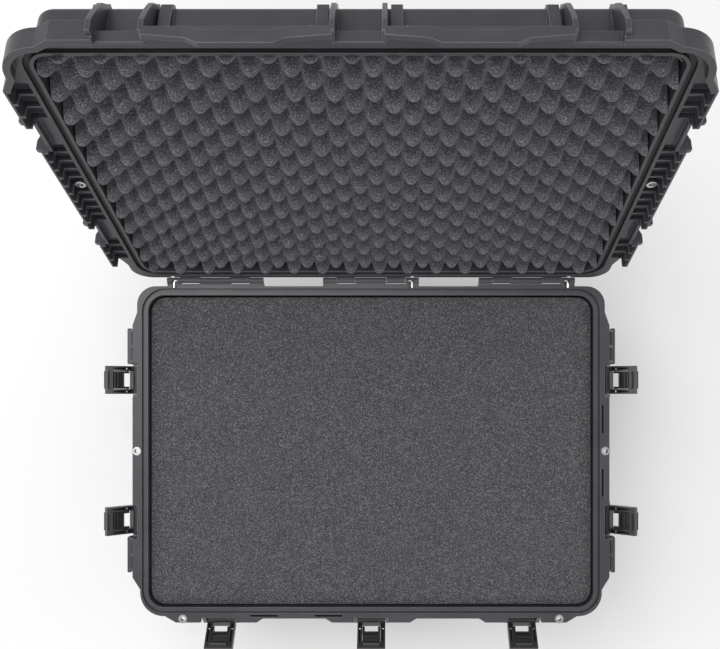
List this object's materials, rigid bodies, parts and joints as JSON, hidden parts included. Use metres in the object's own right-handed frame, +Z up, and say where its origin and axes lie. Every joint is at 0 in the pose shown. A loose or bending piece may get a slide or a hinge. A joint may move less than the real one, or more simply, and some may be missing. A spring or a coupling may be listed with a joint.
{
  "type": "hard equipment case",
  "caption": "Deep hard resin equipment case standing open, with a hinged foam-lined lid, trigger latches, folding handles and padlock eyelets.",
  "frame": {"origin": "centre of the face the base rests on, under the middle of the base's mouth", "axes": "+Z up; -Y is the front, with three latches and a handle; +Y is the hinge side; +X is the side with the second handle"},
  "size_m": [0.8774, 0.8534, 0.8935],
  "materials": {
    "case_resin": "satin",
    "latch_resin": "satin",
    "handle_resin": "satin",
    "valve_resin": "satin",
    "grip_rubber": "matte",
    "seal_rubber": "matte",
    "stainless": "satin",
    "spring_steel": "satin",
    "base_foam": "matte",
    "lid_foam": "matte",
    "membrane": "matte"
  },
  "bodies": {
    "base": {"base_shell": "case_resin", "base_foam_pad": "base_foam", "base_foam_layer_1": "base_foam", "base_foam_layer_2": "base_foam", "base_foam_layer_3": "base_foam", "base_eyelets": "stainless", "hinge_pin_left": "stainless", "hinge_pin_centre": "stainless", "hinge_pin_right": "stainless", "latch_pivot_pins": "stainless", "handle_front_pins": "stainless", "handle_side_pins": "stainless", "valve_body": "valve_resin", "valve_seal": "seal_rubber", "valve_membrane": "membrane", "valve_cap": "valve_resin"},
    "lid": {"lid_shell": "case_resin", "lid_seal": "seal_rubber", "lid_foam": "lid_foam", "lid_eyelets": "stainless"},
    "latch_front_left": {"latch_front_left_frame": "latch_resin", "latch_front_left_trigger_pins": "stainless", "latch_front_left_spring": "spring_steel"},
    "latch_front_left_trigger": {"latch_front_left_trigger": "latch_resin"},
    "latch_front_centre": {"latch_front_centre_frame": "latch_resin", "latch_front_centre_trigger_pins": "stainless", "latch_front_centre_spring": "spring_steel"},
    "latch_front_centre_trigger": {"latch_front_centre_trigger": "latch_resin"},
    "latch_front_right": {"latch_front_right_frame": "latch_resin", "latch_front_right_trigger_pins": "stainless", "latch_front_right_spring": "spring_steel"},
    "latch_front_right_trigger": {"latch_front_right_trigger": "latch_resin"},
    "latch_right_front": {"latch_right_front_frame": "latch_resin", "latch_right_front_trigger_pins": "stainless", "latch_right_front_spring": "spring_steel"},
    "latch_right_front_trigger": {"latch_right_front_trigger": "latch_resin"},
    "latch_right_rear": {"latch_right_rear_frame": "latch_resin", "latch_right_rear_trigger_pins": "stainless", "latch_right_rear_spring": "spring_steel"},
    "latch_right_rear_trigger": {"latch_right_rear_trigger": "latch_resin"},
    "latch_left_front": {"latch_left_front_frame": "latch_resin", "latch_left_front_trigger_pins": "stainless", "latch_left_front_spring": "spring_steel"},
    "latch_left_front_trigger": {"latch_left_front_trigger": "latch_resin"},
    "latch_left_rear": {"latch_left_rear_frame": "latch_resin", "latch_left_rear_trigger_pins": "stainless", "latch_left_rear_spring": "spring_steel"},
    "latch_left_rear_trigger": {"latch_left_rear_trigger": "latch_resin"},
    "handle_front": {"handle_front_bail": "handle_resin", "handle_front_grip": "grip_rubber"},
    "handle_side": {"handle_side_bail": "handle_resin", "handle_side_grip": "grip_rubber"}
  },
  "joints": [
    {"name": "lid_hinge", "type": "hinge", "parent": "base", "child": "lid", "pos_m": [0, 0.278, 0.345], "axis": [1, 0, 0], "range_deg": [0, 110]},
    {"name": "latch_front_left_hinge", "type": "hinge", "parent": "base", "child": "latch_front_left", "pos_m": [-0.25, -0.283, 0.307], "axis": [1, 0, 0], "range_deg": [-48, 0]},
    {"name": "latch_front_left_trigger_hinge", "type": "hinge", "parent": "latch_front_left", "child": "latch_front_left_trigger", "pos_m": [-0.25, -0.29757, 0.31473], "axis": [1, 0, 0], "range_deg": [0, 14], "stiffness_Nm_per_rad": 0.3, "springref_deg": -11.46},
    {"name": "latch_front_centre_hinge", "type": "hinge", "parent": "base", "child": "latch_front_centre", "pos_m": [0, -0.283, 0.307], "axis": [1, 0, 0], "range_deg": [-48, 0]},
    {"name": "latch_front_centre_trigger_hinge", "type": "hinge", "parent": "latch_front_centre", "child": "latch_front_centre_trigger", "pos_m": [0, -0.29757, 0.31473], "axis": [1, 0, 0], "range_deg": [0, 14], "stiffness_Nm_per_rad": 0.3, "springref_deg": -11.46},
    {"name": "latch_front_right_hinge", "type": "hinge", "parent": "base", "child": "latch_front_right", "pos_m": [0.25, -0.283, 0.307], "axis": [1, 0, 0], "range_deg": [-48, 0]},
    {"name": "latch_front_right_trigger_hinge", "type": "hinge", "parent": "latch_front_right", "child": "latch_front_right_trigger", "pos_m": [0.25, -0.29757, 0.31473], "axis": [1, 0, 0], "range_deg": [0, 14], "stiffness_Nm_per_rad": 0.3, "springref_deg": -11.46},
    {"name": "latch_right_front_hinge", "type": "hinge", "parent": "base", "child": "latch_right_front", "pos_m": [0.392, -0.116, 0.307], "axis": [0, 1, 0], "range_deg": [-48, 0]},
    {"name": "latch_right_front_trigger_hinge", "type": "hinge", "parent": "latch_right_front", "child": "latch_right_front_trigger", "pos_m": [0.40657, -0.116, 0.31473], "axis": [0, 1, 0], "range_deg": [0, 14], "stiffness_Nm_per_rad": 0.3, "springref_deg": -11.46},
    {"name": "latch_right_rear_hinge", "type": "hinge", "parent": "base", "child": "latch_right_rear", "pos_m": [0.392, 0.116, 0.307], "axis": [0, 1, 0], "range_deg": [-48, 0]},
    {"name": "latch_right_rear_trigger_hinge", "type": "hinge", "parent": "latch_right_rear", "child": "latch_right_rear_trigger", "pos_m": [0.40657, 0.116, 0.31473], "axis": [0, 1, 0], "range_deg": [0, 14], "stiffness_Nm_per_rad": 0.3, "springref_deg": -11.46},
    {"name": "latch_left_front_hinge", "type": "hinge", "parent": "base", "child": "latch_left_front", "pos_m": [-0.392, -0.116, 0.307], "axis": [0, -1, 0], "range_deg": [-48, 0]},
    {"name": "latch_left_front_trigger_hinge", "type": "hinge", "parent": "latch_left_front", "child": "latch_left_front_trigger", "pos_m": [-0.40657, -0.116, 0.31473], "axis": [0, -1, 0], "range_deg": [0, 14], "stiffness_Nm_per_rad": 0.3, "springref_deg": -11.46},
    {"name": "latch_left_rear_hinge", "type": "hinge", "parent": "base", "child": "latch_left_rear", "pos_m": [-0.392, 0.116, 0.307], "axis": [0, -1, 0], "range_deg": [-48, 0]},
    {"name": "latch_left_rear_trigger_hinge", "type": "hinge", "parent": "latch_left_rear", "child": "latch_left_rear_trigger", "pos_m": [-0.40657, 0.116, 0.31473], "axis": [0, -1, 0], "range_deg": [0, 14], "stiffness_Nm_per_rad": 0.3, "springref_deg": -11.46},
    {"name": "handle_front_hinge", "type": "hinge", "parent": "base", "child": "handle_front", "pos_m": [-0.1215, -0.266, 0.314], "axis": [-1, 0, 0], "range_deg": [0, 90]},
    {"name": "handle_side_hinge", "type": "hinge", "parent": "base", "child": "handle_side", "pos_m": [0.375, 0, 0.314], "axis": [0, -1, 0], "range_deg": [0, 90]}
  ]
}
